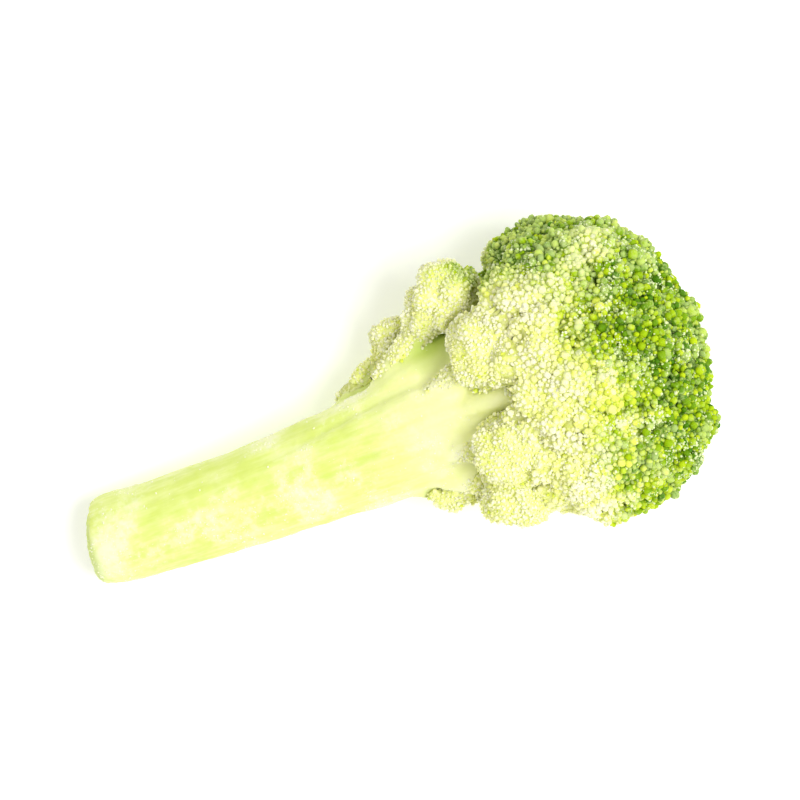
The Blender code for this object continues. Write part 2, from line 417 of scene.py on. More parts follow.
# %% Ribs, lumps and the hollow pith
RIB_COUNT = 7
FIRST_FURROW = math.radians(107)
TWIST_PER_METRE = 3.0
WAVER = 0.10
WAVER_RATE = 220
FURROW_DEPTH = 0.00050
FURROW_SHARPNESS = 5
LEAST_FURROW = 0.12
LUMP_DEPTH = 0.00016
LUMP_SIZE = 0.0042
GRAIN_DEPTH = 0.00005
GRAIN_SIZE = 0.0009
PITH_DEPTH = 0.0005
PITH_RADIUS = 0.0036
RIM_ROUNDING = 0.0005
RIM_LENGTH = 0.0030
RIM_NARROWING = 0.09
RIM_START = 0.72
END_DEPTH = 0.0016
END_GRAIN_SIZE = 0.0007
SKIN_STARTS, SKIN_FULL = 0.0008, 0.0030
RIBS_START, RIBS_FULL = 0.016, 0.040


def lumpy(points, size, octaves, seed):
    """A repeatable noise value, about -1 to 1, for each point."""
    shift = Vector((seed, seed * 0.7, seed * 1.3))
    stretch = 1 / size
    return np.array([fractal(Vector(p) * stretch + shift, 0.8, 2.0, octaves) for p in points])


points = points_of(stalk.data)
facing = outward(stalk.data)
apart = points - np.array(cut_end)
along = apart @ np.array(forward)
side, rise = apart @ np.array(sideways), apart @ np.array(upward)
radius = np.hypot(side, rise)
angle = np.arctan2(rise, side) - FIRST_FURROW
angle += TWIST_PER_METRE * along + WAVER * np.sin(WAVER_RATE * along)
furrow = (0.5 + 0.5 * np.cos(RIB_COUNT * angle)) ** FURROW_SHARPNESS
deeper = LEAST_FURROW + (1 - LEAST_FURROW) * smooth(along, RIBS_START, RIBS_FULL)
end_face = (along < END_DEPTH) & (facing @ np.array(forward) < -0.5)
skin_share = smooth(along, SKIN_STARTS, SKIN_FULL)
raised = -FURROW_DEPTH * furrow * deeper
raised += LUMP_DEPTH * lumpy(points, LUMP_SIZE, 2, 3.0) * (0.6 + 0.6 * deeper)
raised += GRAIN_DEPTH * lumpy(points, GRAIN_SIZE, 3, 5.0)
raised *= skin_share
points += facing * raised[:, None]
hollow = PITH_DEPTH * np.clip(1 - (radius / PITH_RADIUS) ** 2, 0, 1) ** 0.6
hollow += GRAIN_DEPTH * 1.5 * lumpy(points, END_GRAIN_SIZE, 2, 9.0)
rim = smooth(radius / radius[end_face].max(), RIM_START, 1.0)
hollow += RIM_ROUNDING * rim
points += np.array(forward) * (hollow * end_face)[:, None]
near_end = np.clip(1 - along / RIM_LENGTH, 0, 1) ** 2
to_axis = np.outer(side, np.array(sideways)) + np.outer(rise, np.array(upward))
points -= to_axis * (RIM_NARROWING * near_end)[:, None]
set_points(stalk.data, points)
keep_above_floor(stalk.data)
print("the skin sinks up to", round(float(-raised.min()) * 1000, 2), "mm in the furrows")

# %% Hand the stalk over
stalk_material = bpy.data.materials.new("frosted_stalk")
stalk_material.use_nodes = True
stalk.data.materials.clear()
stalk.data.materials.append(stalk_material)
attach(stalk, "root")
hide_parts("stalk", *BRANCHES)
print("the skin stands for the stalk and", len(BRANCHES), "branches")


# %% [markdown]
# ## One bud
#
# A bud is an egg, mostly under a millimetre long, closed by four sepals that leave
# shallow valleys between them. It could be modelled sepal by sepal, but thousands are
# needed.
# So it is a stack of rings with every second corner pulled in, only a few dozen faces
# in all, and smooth shading does the rest. A younger bud needs fewer still.
# %% Bud shape
# Each step of a profile is a height and a distance from the bud's axis.
BUD_PROFILE = ((0.0, 0.30), (0.22, 0.47), (0.52, 0.50), (0.80, 0.33))
SMALL_BUD_PROFILE = ((0.0, 0.38), (0.40, 0.50), (0.76, 0.34))
VALLEY = 0.86
TIP_HEIGHT = 0.95


def bud_mesh(name, sides, profile):
    """A closed bud, one unit across, with its height stored as the attribute 'tip'."""
    bm = bmesh.new()
    tip_layer = bm.verts.layers.float.new("tip")
    loops = []
    for height, reach in profile:
        loop = []
        for i in range(sides):
            turn = math.tau * i / sides
            here = reach * (1.0 if i % 2 else VALLEY)
            vert = bm.verts.new((here * math.cos(turn), here * math.sin(turn), height))
            vert[tip_layer] = height
            loop.append(vert)
        loops.append(loop)
    top = bm.verts.new((0, 0, TIP_HEIGHT))
    top[tip_layer] = 1.0
    for lower, upper in zip(loops, loops[1:]):
        for i in range(sides):
            j = (i + 1) % sides
            bm.faces.new((lower[i], lower[j], upper[j], upper[i]))
    for i in range(sides):
        bm.faces.new((loops[-1][i], loops[-1][(i + 1) % sides], top))
    bm.faces.new(list(reversed(loops[0])))
    mesh = bpy.data.meshes.new(name)
    bm.to_mesh(mesh)
    bm.free()
    mesh.shade_smooth()
    made = bpy.data.objects.new(name, mesh)
    scene.collection.objects.link(made)
    return made


one_bud = bud_mesh("one_bud", 8, BUD_PROFILE)
small_bud = bud_mesh("small_bud", 6, SMALL_BUD_PROFILE)
print("a bud has", len(one_bud.data.polygons), "faces")
print("a small bud has", len(small_bud.data.polygons), "faces")


# %% [markdown]
# ## Beds for the buds
#
# A cluster is not one smooth dome. It is a bunch of smaller bunches, each 4 mm or so
# across, with creases between them. A cell pattern gives exactly that: the distance to
# the nearest cell centre makes a dome in each cell and a crease on each border.
#
# Clusters also grow until they touch. So from each point a ray looks along the normal.
# Where it soon meets a neighbour, the wall is filled out towards it, and only where the
# way is open does the surface sink into lobes.
# %% Tree for lobes
def start_tree(name, sizes):
    """An empty Geometry Nodes tree with a geometry input and named number inputs."""
    tree = bpy.data.node_groups.new(name, "GeometryNodeTree")
    tree.interface.new_socket("Geometry", in_out="OUTPUT", socket_type="NodeSocketGeometry")
    tree.interface.new_socket("Geometry", in_out="INPUT", socket_type="NodeSocketGeometry")
    kinds = {float: "NodeSocketFloat", int: "NodeSocketInt"}
    for label, value in sizes.items():
        kind = kinds.get(type(value), "NodeSocket" + str(value))
        socket = tree.interface.new_socket(label, in_out="INPUT", socket_type=kind)
        if type(value) in kinds:
            socket.default_value = value
    return tree, add(tree, "NodeGroupInput").outputs, add(tree, "NodeGroupOutput")


def set_input(modifier, label, value):
    """Sets a modifier's input by its socket's identifier."""
    for item in modifier.node_group.interface.items_tree:
        if item.name == label and item.in_out == "INPUT":
            modifier[item.identifier] = value


def run_tree(made, tree, **values):
    """Runs a tree on an object and keeps the result as its plain mesh."""
    modifier = made.modifiers.new(tree.name, "NODES")
    modifier.node_group = tree
    for label, value in values.items():
        set_input(modifier, label.replace("_", " ").capitalize(), value)
    return baked(made)


# %% Lobes, creases and filled walls
TOUCHING = 0.0008
REACH = 0.0040
CELL_RADIUS = 0.75
CELL_DISORDER = 0.9
LOBE_WEIGHT, BUNCH_WEIGHT = 0.7, 0.3

bed_material = bpy.data.materials.new("bed_of_buds")
bed_material.use_nodes = True
sizes = {
    "Lobe size": 0.0042,
    "Lobe depth": 0.0013,
    "Bunch size": 0.0024,
    "Bunch depth": 0.0005,
    "Sunk": 0.0005,
    "Fill": 0.00055,
    "Neighbours": "Object",
    "Material": "Material",
}
lobe_tree, inputs, output = start_tree("lobes", sizes)
where = add(lobe_tree, "GeometryNodeInputPosition").outputs[0]
normal = add(lobe_tree, "GeometryNodeInputNormal").outputs[0]


def dome_cells(size):
    """How deep a place lies between its cells: 0 at a cell's middle, 1 at its border."""
    scale = calc(lobe_tree, "DIVIDE", 1.0, size)
    cells = {"Vector": where, "Scale": scale, "Randomness": CELL_DISORDER}
    distance = add(lobe_tree, "ShaderNodeTexVoronoi", cells).outputs["Distance"]
    share = calc(lobe_tree, "DIVIDE", distance, CELL_RADIUS, clamp=True)
    return calc(lobe_tree, "POWER", share, 2.0)


looking = {
    "Target Geometry": mesh_of(lobe_tree, inputs["Neighbours"]),
    "Ray Direction": normal,
    "Ray Length": REACH,
}
ray = add(lobe_tree, "GeometryNodeRaycast", looking).outputs
clear = remap(lobe_tree, ray["Hit Distance"], TOUCHING, REACH)
choice = {"Switch": ray["Is Hit"], "False": 1.0, "True": clear}
open_share = add(lobe_tree, "GeometryNodeSwitch", choice, input_type="FLOAT").outputs[0]
lobe_crease = dome_cells(inputs["Lobe size"])
drop = calc(lobe_tree, "MULTIPLY_ADD", lobe_crease, inputs["Lobe depth"], inputs["Sunk"])
bunch_crease = dome_cells(inputs["Bunch size"])
drop = calc(lobe_tree, "MULTIPLY_ADD", bunch_crease, inputs["Bunch depth"], drop)
filled = calc(lobe_tree, "ADD", drop, inputs["Fill"])
drop = calc(lobe_tree, "MULTIPLY", filled, open_share)
shift = scaled(lobe_tree, normal, calc(lobe_tree, "SUBTRACT", inputs["Fill"], drop))
moved = add(lobe_tree, "GeometryNodeSetPosition", {"Geometry": inputs[0], "Offset": shift})
crease = calc(lobe_tree, "MULTIPLY", bunch_crease, BUNCH_WEIGHT)
crease = calc(lobe_tree, "MULTIPLY_ADD", lobe_crease, LOBE_WEIGHT, crease)
noted = {"Geometry": moved.outputs[0], "Name": "crease", "Value": crease}
kept = add(lobe_tree, "GeometryNodeStoreNamedAttribute", noted)
noted = {"Geometry": kept.outputs[0], "Name": "open", "Value": open_share}
kept = add(lobe_tree, "GeometryNodeStoreNamedAttribute", noted)
real = add(lobe_tree, "GeometryNodeRealizeInstances", {0: kept.outputs[0]}).outputs[0]
painted = {"Geometry": real, "Material": inputs["Material"]}
done = add(lobe_tree, "GeometryNodeSetMaterial", painted)
lobe_tree.links.new(done.outputs[0], output.inputs[0])
print("tree for lobes:", len(lobe_tree.nodes), "nodes")

# %% [markdown]
# ## Coats for the small branches
#
# The small clusters under the crown have no bare neck: buds sit on their branches too.
# So a branch gets a coat that grows thicker from the stalk to the cluster, and both
# melt into one bed. The two side shoots bear buds from the stalk on, so theirs starts
# at the stalk itself.
# %% Coats and beds
BED_VOXEL = 0.00040
CLUSTER_GROWTH = 0.0002


def together(name, meshes):
    """One object that holds several meshes."""
    whole = bmesh.new()
    for mesh in meshes:
        whole.from_mesh(mesh)
    joined = bpy.data.meshes.new(name)
    whole.to_mesh(joined)
    whole.free()
    made = bpy.data.objects.new(name, joined)
    scene.collection.objects.link(made)
    return made


stalk_tree = BVHTree.FromPolygons(
    [v.co for v in frame["nodes"]["stalk"].data.vertices],
    [p.vertices for p in frame["nodes"]["stalk"].data.polygons],
)


def coat(least, extra, starts, ends):
    """A rule for a branch's coat, which thickens with the distance from the stalk."""

    def growth(place):
        off_stalk = stalk_tree.find_nearest(place)[3]
        return least + extra * float(smooth(off_stalk, starts, ends))

    return growth


small_coat = coat(least=-0.0004, extra=0.0020, starts=0.0012, ends=0.0050)
shoot_coat = coat(least=0.0004, extra=0.0016, starts=0.0, ends=0.0045)
beds = {}
for name in CLUSTERS:
    growths = {"buds_" + name: CLUSTER_GROWTH}
    if name in FROM_THE_STALK:
        growths["branch_" + name] = shoot_coat
    elif name in COATED:
        growths["branch_" + name] = small_coat
    beds[name] = melted("cluster_" + name, growths, BED_VOXEL)
    relax(beds[name], rounds=3)
print("beds:", sum(len(bed.data.polygons) for bed in beds.values()), "faces")

# %% Lobes on every bed
LOBES = {
    "crown": {"lobe_size": 0.0042, "lobe_depth": 0.0013, "bunch_depth": 0.0005},
    "small": {"lobe_size": 0.0032, "lobe_depth": 0.0007, "bunch_depth": 0.0003},
    "shoot": {"lobe_size": 0.0034, "lobe_depth": 0.0013, "bunch_depth": 0.0004},
}
LOBES["crown"].update(sunk=0.0005, fill=0.00055)
LOBES["small"].update(sunk=0.0002, fill=0.00045)
LOBES["shoot"].update(sunk=0.0, fill=-0.0006)


def kind_of(name):
    """Which lobes a cluster has."""
    if name in main_clusters:
        return "crown"
    return "shoot" if name in FROM_THE_STALK else "small"


rough_beds = {name: bed.data.copy() for name, bed in beds.items()}
for name, bed in beds.items():
    near = set(rough_beds) - {name}
    if name not in COATED:
        near -= set(FROM_THE_STALK)
    others = together("others", [rough_beds[n] for n in sorted(near)] + [stalk.data])
    shape = LOBES[kind_of(name)]
    run_tree(bed, lobe_tree, neighbours=others, material=bed_material, **shape)
    bpy.data.objects.remove(others)
everything = together("everything", [*[bed.data for bed in beds.values()], stalk.data])
print("lobes carved on", len(beds), "beds")

# %% [markdown]
# ## What can be seen at all
#
# The clusters hide each other's backs, and nobody sees a bud in there. The model stays
# lighter without those buds. From each point of a bed some rays go out in all
# directions. If none of them gets away, the point is hidden, and no bud grows there.
# %% Mark the hidden places
RAY_COUNT = 32
RAY_START = 0.0004
RAY_LENGTH = 0.08
GRAZING = 0.1
GOLDEN_TURN = math.pi * (3 - math.sqrt(5))

rays = []
for i in range(RAY_COUNT):
    height = 1 - 2 * (i + 0.5) / RAY_COUNT
    reach = math.sqrt(1 - height * height)
    turn = i * GOLDEN_TURN
    rays.append(Vector((reach * math.cos(turn), reach * math.sin(turn), height)))
whole_tree = BVHTree.FromPolygons(
    [v.co for v in everything.data.vertices],
    [p.vertices for p in everything.data.polygons],
)


def can_be_seen(place, facing):
    """1 if some ray gets away from a place, 0 if none does."""
    start = place + facing * RAY_START
    for ray in rays:
        leaves = ray.dot(facing) > GRAZING
        if leaves and whole_tree.ray_cast(start, ray, RAY_LENGTH)[0] is None:
            return 1.0
    return 0.0


hidden = 0
for bed in beds.values():
    mesh = bed.data
    seen = [can_be_seen(v.co, v.normal) for v in mesh.vertices]
    mesh.attributes.new("seen", "FLOAT", "POINT").data.foreach_set("value", seen)
    hidden += seen.count(0.0)
print("hidden points:", hidden, "of", sum(len(bed.data.vertices) for bed in beds.values()))

# %% [markdown]
# ## Growing the buds
#
# Points are scattered on each bed with a smallest distance between them, as buds push
# each other apart. A ray leaves each point: where it soon meets another surface there
# is no room, and no bud. Each bud turns to face away from its bed, and keeps a random
# number, its tone, that the paint reads later. The tree runs twice on each bed: once
# for the large buds, and once for the small ones that fill the chinks between them.
# %% Tree for buds
ABOVE_SKIN = 0.00015
SEEN_ENOUGH = 0.4
MOST_PER_SQUARE_METRE = 3.0e7
LEAN = 0.36
HALF_TURN = 3.14
SMALLEST_SWELL, SWELL_RANGE, SWELL_POWER = 0.66, 0.62, 1.4
YOUNG_END, RIPE_END, YOUNG_SIZE = -0.011, 0.004, 0.66
SLIMMEST, STOUTEST = (0.84, 0.84, 0.78), (1.14, 1.14, 1.28)
SUNK_MOST, SUNK_LEAST = -0.42, -0.14

bud_material = bpy.data.materials.new("frosted_buds")
bud_material.use_nodes = True

sizes = {
    "Spacing": 0.00062,
    "Bud size": 0.00087,
    "Clear way": 0.0003,
    "Seed": 1,
    "Bud": "Object",
    "Neighbours": "Object",
    "Material": "Material",
}
bud_tree, inputs, output = start_tree("buds", sizes)
normal = add(bud_tree, "GeometryNodeInputNormal").outputs[0]
where = add(bud_tree, "GeometryNodeInputPosition").outputs[0]
step = scaled(bud_tree, normal, ABOVE_SKIN)
above_skin = add(bud_tree, "ShaderNodeVectorMath", {0: where, 1: step})
looking = {
    "Target Geometry": mesh_of(bud_tree, inputs["Neighbours"]),
    "Source Position": above_skin.outputs[0],
    "Ray Direction": normal,
    "Ray Length": inputs["Clear way"],
}
blocked = add(bud_tree, "GeometryNodeRaycast", looking).outputs["Is Hit"]
seen = calc(bud_tree, "GREATER_THAN", read_attribute(bud_tree, "seen"), SEEN_ENOUGH)
free = {0: seen, 1: blocked}
free = add(bud_tree, "FunctionNodeBooleanMath", free, operation="NIMPLY").outputs[0]
scatter = {
    "Mesh": inputs[0],
    "Selection": free,
    "Distance Min": inputs["Spacing"],
    "Density Max": MOST_PER_SQUARE_METRE,
    "Seed": inputs["Seed"],
}
seats = add(
    bud_tree, "GeometryNodeDistributePointsOnFaces", scatter, distribute_method="POISSON"
)

# %% Turn and size of each bud
turn_low, turn_high = (-LEAN, -LEAN, -HALF_TURN), (LEAN, LEAN, HALF_TURN)
twist = random_between(bud_tree, turn_low, turn_high, inputs["Seed"])
twist = add(bud_tree, "FunctionNodeEulerToRotation", {0: twist}).outputs[0]
turned = {0: seats.outputs["Rotation"], 1: twist}
turned = add(bud_tree, "FunctionNodeRotateRotation", turned, rotation_space="LOCAL").outputs[0]
swell = calc(bud_tree, "POWER", random_between(bud_tree, 0.0, 1.0, seed=7), SWELL_POWER)
swell = calc(bud_tree, "MULTIPLY_ADD", swell, SWELL_RANGE, SMALLEST_SWELL)
ahead = distance_along(bud_tree, where, crown_middle, forward)
ripe = remap(bud_tree, ahead, YOUNG_END, RIPE_END, YOUNG_SIZE, 1.0)
swell = calc(bud_tree, "MULTIPLY", swell, ripe)
size = calc(bud_tree, "MULTIPLY", swell, inputs["Bud size"])
build = random_between(bud_tree, SLIMMEST, STOUTEST, seed=43)

# %% Plant the buds
placed = {
    "Points": seats.outputs[0],
    "Instance": mesh_of(bud_tree, inputs["Bud"]),
    "Rotation": turned,
    "Scale": scaled(bud_tree, build, size),
}
planted = add(bud_tree, "GeometryNodeInstanceOnPoints", placed).outputs[0]
depth = random_between(bud_tree, SUNK_MOST, SUNK_LEAST, seed=31)
sink = add(bud_tree, "ShaderNodeCombineXYZ", {2: depth}).outputs[0]
sunk = {"Instances": planted, "Translation": sink, "Local Space": True}
sunk = add(bud_tree, "GeometryNodeTranslateInstances", sunk).outputs[0]
tone = random_between(bud_tree, 0.0, 1.0, seed=19)
toned = {"Geometry": sunk, "Name": "tone", "Value": tone}
toned = add(bud_tree, "GeometryNodeStoreNamedAttribute", toned, domain="INSTANCE").outputs[0]
real = add(bud_tree, "GeometryNodeRealizeInstances", {0: toned}).outputs[0]
painted = {"Geometry": real, "Material": inputs["Material"]}
done = add(bud_tree, "GeometryNodeSetMaterial", painted)
bud_tree.links.new(done.outputs[0], output.inputs[0])
print("tree for buds:", len(bud_tree.nodes), "nodes")

# %% Grow them on every bed
BUD_SPACING = 0.00062
BUD_SIZE = 0.00087
SMALL_BUD_SPACING = 0.00047
SMALL_BUD_SIZE = 0.00055
SMALL_SHARE = 0.72
SMALL_BUD_SEEDS = 51


def copy_of_bed(name, title):
    """A second object with the same mesh as a bed, for a tree to run on."""
    made = bpy.data.objects.new(title + name, beds[name].data.copy())
    scene.collection.objects.link(made)
    return made


def grow(name, bud, seed, spacing, size):
    """One kind of bud, grown on one bed. Small clusters bear smaller buds."""
    share = 1.0 if name in main_clusters else SMALL_SHARE
    return run_tree(
        copy_of_bed(name, "buds_on_"),
        bud_tree,
        seed=seed,
        spacing=spacing * share,
        bud_size=size * share,
        bud=bud,
        neighbours=everything,
        material=bud_material,
    )


grown_buds = {}
for number, name in enumerate(CLUSTERS):
    large = grow(name, one_bud, number + 1, BUD_SPACING, BUD_SIZE)
    small = grow(name, small_bud, number + SMALL_BUD_SEEDS, SMALL_BUD_SPACING, SMALL_BUD_SIZE)
    grown_buds[name] = (large, small)
print("bud faces:", sum(len(p.data.polygons) for pair in grown_buds.values() for p in pair))

# %% Join each bed and its buds into one piece
for name, (large, small) in grown_buds.items():
    bed = beds[name]
    both = bmesh.new()
    both.from_mesh(bed.data)
    for face in both.faces:
        face.material_index = 0
    count = len(both.faces)
    both.from_mesh(large.data)
    both.from_mesh(small.data)
    both.faces.ensure_lookup_table()
    for face in both.faces[count:]:
        face.material_index = 1
    mesh = bpy.data.meshes.new("cluster_" + name)
    both.to_mesh(mesh)
    both.free()
    mesh.materials.append(bed_material)
    mesh.materials.append(bud_material)
    keep_above_floor(mesh)
    mesh.shade_smooth()
    bed.data = mesh
    bpy.data.objects.remove(large)
    bpy.data.objects.remove(small)
    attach(bed, "root")
    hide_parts("buds_" + name)
for guide in (everything, one_bud, small_bud):
    bpy.data.objects.remove(guide)
print("clusters joined:", len(grown_buds))

# %% [markdown]
# ## Frost
#
# Water that left the tissue froze on it again as crumbs of ice, up to half a
# millimetre across. Paint alone would look flat in a close view, so the crumbs are
# real lumps. They sit in drifts: thick here, nearly none there. So they are scattered
# at random, and a slow noise decides how many may land in a place.
# %% One crumb of ice
CRUMB_LEAST, CRUMB_LUMPS, CRUMB_FLATNESS = 0.85, 0.3, 0.8


def crumb_mesh():
    """A lump of twenty faces, a unit across and a little uneven."""
    bm = bmesh.new()
    bmesh.ops.create_icosphere(bm, subdivisions=1, radius=0.5)
    for vert in bm.verts:
        wave = math.sin(7 * vert.co.x + 11 * vert.co.y + 5 * vert.co.z)
        vert.co *= CRUMB_LEAST + CRUMB_LUMPS * abs(wave)
        vert.co.z *= CRUMB_FLATNESS
    mesh = bpy.data.meshes.new("one_crumb")
    bm.to_mesh(mesh)
    bm.free()
    return mesh


one_crumb = bpy.data.objects.new("one_crumb", crumb_mesh())
scene.collection.objects.link(one_crumb)
frost_material = bpy.data.materials.new("ice_crumbs")
frost_material.use_nodes = True
CRUMB_FACES = len(one_crumb.data.polygons)
print("a crumb has", CRUMB_FACES, "faces")

# %% Tree for frost
THIN_FROST = 0.04
DRIFT_EDGE = 0.16
SMALLEST_CRUMB, CRUMB_RANGE, CRUMB_POWER = 0.35, 0.75, 2.5

sizes = {
    "Per square metre": 6.5e6,
    "Crumb size": 0.00040,
    "Drift size": 0.0045,
    "Bare share": 0.48,
    "Lowest tip": 0.35,
    "Seed": 1,
    "Crumb": "Object",
    "Material": "Material",
}
frost_tree, inputs, output = start_tree("frost", sizes)
where = add(frost_tree, "GeometryNodeInputPosition").outputs[0]
drift_scale = calc(frost_tree, "DIVIDE", 1.0, inputs["Drift size"])
drift = noise(frost_tree, where, drift_scale, 2.0, 0.6)
more = calc(frost_tree, "SUBTRACT", drift, inputs["Bare share"])
more = remap(frost_tree, more, 0.0, DRIFT_EDGE, THIN_FROST, 1.0)
tip = read_attribute(frost_tree, "tip")
exposed = calc(frost_tree, "GREATER_THAN", tip, inputs["Lowest tip"])
more = calc(frost_tree, "MULTIPLY", more, exposed)
fallen = {
    "Mesh": inputs[0],
    "Density": calc(frost_tree, "MULTIPLY", more, inputs["Per square metre"]),
    "Seed": inputs["Seed"],
}
fallen = add(frost_tree, "GeometryNodeDistributePointsOnFaces", fallen)
size = calc(frost_tree, "POWER", random_between(frost_tree, 0.0, 1.0, seed=3), CRUMB_POWER)
size = calc(frost_tree, "MULTIPLY_ADD", size, CRUMB_RANGE, SMALLEST_CRUMB)
size = calc(frost_tree, "MULTIPLY", size, inputs["Crumb size"])
turn = random_between(frost_tree, (-HALF_TURN,) * 3, (HALF_TURN,) * 3, seed=5)
grains = {
    "Points": fallen.outputs[0],
    "Instance": mesh_of(frost_tree, inputs["Crumb"]),
    "Rotation": add(frost_tree, "FunctionNodeEulerToRotation", {0: turn}).outputs[0],
    "Scale": size,
}
grains = add(frost_tree, "GeometryNodeInstanceOnPoints", grains).outputs[0]
real = add(frost_tree, "GeometryNodeRealizeInstances", {0: grains}).outputs[0]
painted = {"Geometry": real, "Material": inputs["Material"]}
done = add(frost_tree, "GeometryNodeSetMaterial", painted)
frost_tree.links.new(done.outputs[0], output.inputs[0])
print("tree for frost:", len(frost_tree.nodes), "nodes")

# %% Frost on every cluster and on the stalk
STALK_CRUMBS = 5.0e6
STALK_CRUMB_SIZE = 0.00024
STALK_DRIFT_SIZE = 0.0060

crumbs = 0
for number, name in enumerate(CLUSTERS):
    frost = copy_of_bed(name, "frost_")
    run_tree(frost, frost_tree, seed=number, crumb=one_crumb, material=frost_material)
    keep_above_floor(frost.data)
    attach(frost, "root")
    crumbs += len(frost.data.polygons) // CRUMB_FACES
frost = bpy.data.objects.new("frost_stalk", stalk.data.copy())
scene.collection.objects.link(frost)
run_tree(
    frost,
    frost_tree,
    seed=99,
    per_square_metre=STALK_CRUMBS,
    crumb_size=STALK_CRUMB_SIZE,
    drift_size=STALK_DRIFT_SIZE,
    lowest_tip=-1.0,
    crumb=one_crumb,
    material=frost_material,
)
keep_above_floor(frost.data)
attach(frost, "root")
on_stalk = len(frost.data.polygons) // CRUMB_FACES
print("crumbs of ice:", crumbs, "on the buds,", on_stalk, "on the stalk")
bpy.data.objects.remove(one_crumb)


# %% [markdown]
# ## Paint
#
# The buds that faced the sun are green. Those on the shaded side towards the stalk
# stayed pale, nearly cream. So the paint needs one number first: how far a point lies
# towards the sunny front of the crown.
# %% How green a place is
SUNNY_TURN = math.radians(-10)
PATCH_SCALE = 170.0
PATCH_AHEAD, PATCH_BESIDE = 0.016, 0.012
FRONT_STARTS, FRONT_FULL = -0.0055, 0.0068
FLANK_STARTS, FLANK_FULL, FLANK_GREEN = 0.0070, 0.0140, 0.95
FLANK_FADES_OUT, FLANK_FADES_IN = -0.0150, -0.0090
sunny = forward * math.cos(SUNNY_TURN) + sideways * math.sin(SUNNY_TURN)


def greenness(tree):
    """0 on the pale side near the stalk, 1 on the sunny front."""
    where = add(tree, "ShaderNodeTexCoord").outputs["Object"]
    patches = calc(tree, "SUBTRACT", noise(tree, where, PATCH_SCALE, 2.0), 0.5)
    ahead = distance_along(tree, where, crown_middle, sunny)
    ahead = calc(tree, "MULTIPLY_ADD", patches, PATCH_AHEAD, ahead)
    beside = distance_along(tree, where, crown_middle, sideways)
    beside = calc(tree, "MULTIPLY_ADD", patches, PATCH_BESIDE, beside)
    front = remap(tree, ahead, FRONT_STARTS, FRONT_FULL)
    flank = remap(tree, beside, FLANK_STARTS, FLANK_FULL, 0.0, FLANK_GREEN)
    faded = remap(tree, ahead, FLANK_FADES_OUT, FLANK_FADES_IN)
    flank = calc(tree, "MULTIPLY", flank, faded)
    return where, calc(tree, "MAXIMUM", front, flank)


def green_ramp(tree, share):
    """From cream over yellow green to leaf green."""
    ramp = add(tree, "ShaderNodeValToRGB", {0: share})
    stops = (
        (0.0, srgb(253, 254, 176)),
        (0.33, srgb(236, 246, 104)),
        (0.58, srgb(186, 212, 10)),
        (0.80, srgb(134, 172, 0)),
        (1.0, srgb(74, 124, 0)),
    )
    elements = ramp.color_ramp.elements
    elements[0].position, elements[0].color = stops[0]
    elements[1].position, elements[1].color = stops[-1]
    for position, colour in stops[1:-1]:
        elements.new(position).color = colour
    return ramp.outputs[0]


print("the sunny side points to", [round(v, 2) for v in sunny])


# %% [markdown]
# ## Frosted buds
#
# No two buds have quite the same green, and a film of fine frost lies on some and not
# on others. The tone that each bud kept gives both: it shifts the bud along the ramp,
# and scrambled, it decides how easily frost settles. Noise breaks the film into specks.
# The left flank of the crown, the side away from the lamp, carries more film: partly
# real frost, partly a painted grey for its shade. Each bud is also painted darker
# towards its base, as painted shade where it sinks among its neighbours.
# %% Paint the buds
PALE_FROST = srgb(255, 255, 214)
GREEN_FROST = srgb(206, 225, 142)
SPECK_SCALE = 3200.0
DRIFT_SCALE = 300.0
GREEN_WEIGHT, TONE_SWING = 0.80, 0.50
EARLY_TONE, EARLY_GREEN = 0.80, 0.45
SCRAMBLE = 7.31
DRIFT_WEIGHT, SPECK_WEIGHT, TIP_WEIGHT, TONE_WEIGHT = 1.6, 0.9, 0.15, 0.45
FROST_AND_SHADE_FLANK_WEIGHT = 0.26
FROST_AND_SHADE_FLANK_STARTS, FROST_AND_SHADE_FLANK_FULL = 0.0050, 0.0120
FILM_STARTS, FILM_FULL = 1.38, 1.72

tree = bud_material.node_tree
shader = tree.nodes["Principled BSDF"]
where, green = greenness(tree)
tone = add(tree, "ShaderNodeAttribute", attribute_name="tone").outputs["Fac"]
tip = add(tree, "ShaderNodeAttribute", attribute_name="tip").outputs["Fac"]
early = remap(tree, tone, EARLY_TONE, 1.0, 0.0, EARLY_GREEN)
swing = calc(tree, "MULTIPLY", calc(tree, "SUBTRACT", tone, 0.5), TONE_SWING)
mixed = calc(tree, "MULTIPLY_ADD", green, GREEN_WEIGHT, swing)
colour = green_ramp(tree, calc(tree, "MAXIMUM", mixed, early))
# Painted shade: each bud darkens towards its base, where it sinks among its neighbours.
painted_shade = remap(tree, tip, 0.15, 0.75, 0.88, 1.0)
colour = blend_colours(tree, 1.0, colour, painted_shade, "MULTIPLY")
second_tone = calc(tree, "FRACT", calc(tree, "MULTIPLY", tone, SCRAMBLE))
specks = noise(tree, where, SPECK_SCALE, 3.0, 0.6)
drifts = noise(tree, where, DRIFT_SCALE, 2.0)
frosty = calc(tree, "MULTIPLY", specks, SPECK_WEIGHT)
frosty = calc(tree, "MULTIPLY_ADD", drifts, DRIFT_WEIGHT, frosty)
frosty = calc(tree, "MULTIPLY_ADD", tip, TIP_WEIGHT, frosty)
frosty = calc(tree, "MULTIPLY_ADD", second_tone, TONE_WEIGHT, frosty)
frosty = calc(tree, "MULTIPLY_ADD", green, -0.14, frosty)
